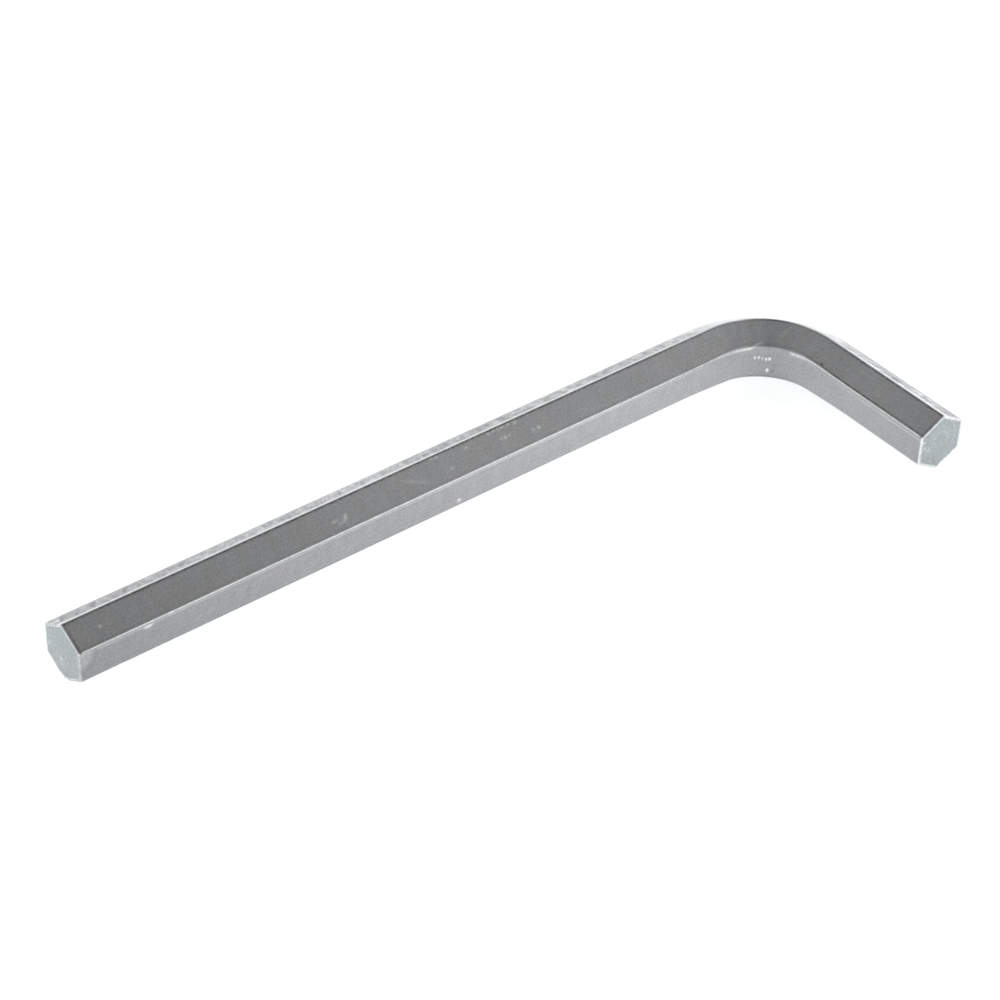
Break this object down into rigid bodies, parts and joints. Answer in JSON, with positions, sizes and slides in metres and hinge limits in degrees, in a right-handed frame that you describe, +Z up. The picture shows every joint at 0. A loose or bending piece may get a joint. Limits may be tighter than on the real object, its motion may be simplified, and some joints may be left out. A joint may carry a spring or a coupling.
{
  "type": "hex key",
  "caption": "L-shaped hex key bent from one length of rounded-edge hexagonal steel bar, with both ends sheared square and lightly chamfered.",
  "frame": {"origin": "centre of the footprint on the surface that the key lies on", "axes": "+X along the long arm, from its free end towards the bend; -Y towards the free end of the short arm, which leans 2 degrees towards -X; +Z up"},
  "size_m": [0.0798, 0.025, 0.0057],
  "materials": {
    "plated_steel": "satin"
  },
  "bodies": {
    "root": {"hex_key": "plated_steel"}
  },
  "joints": []
}
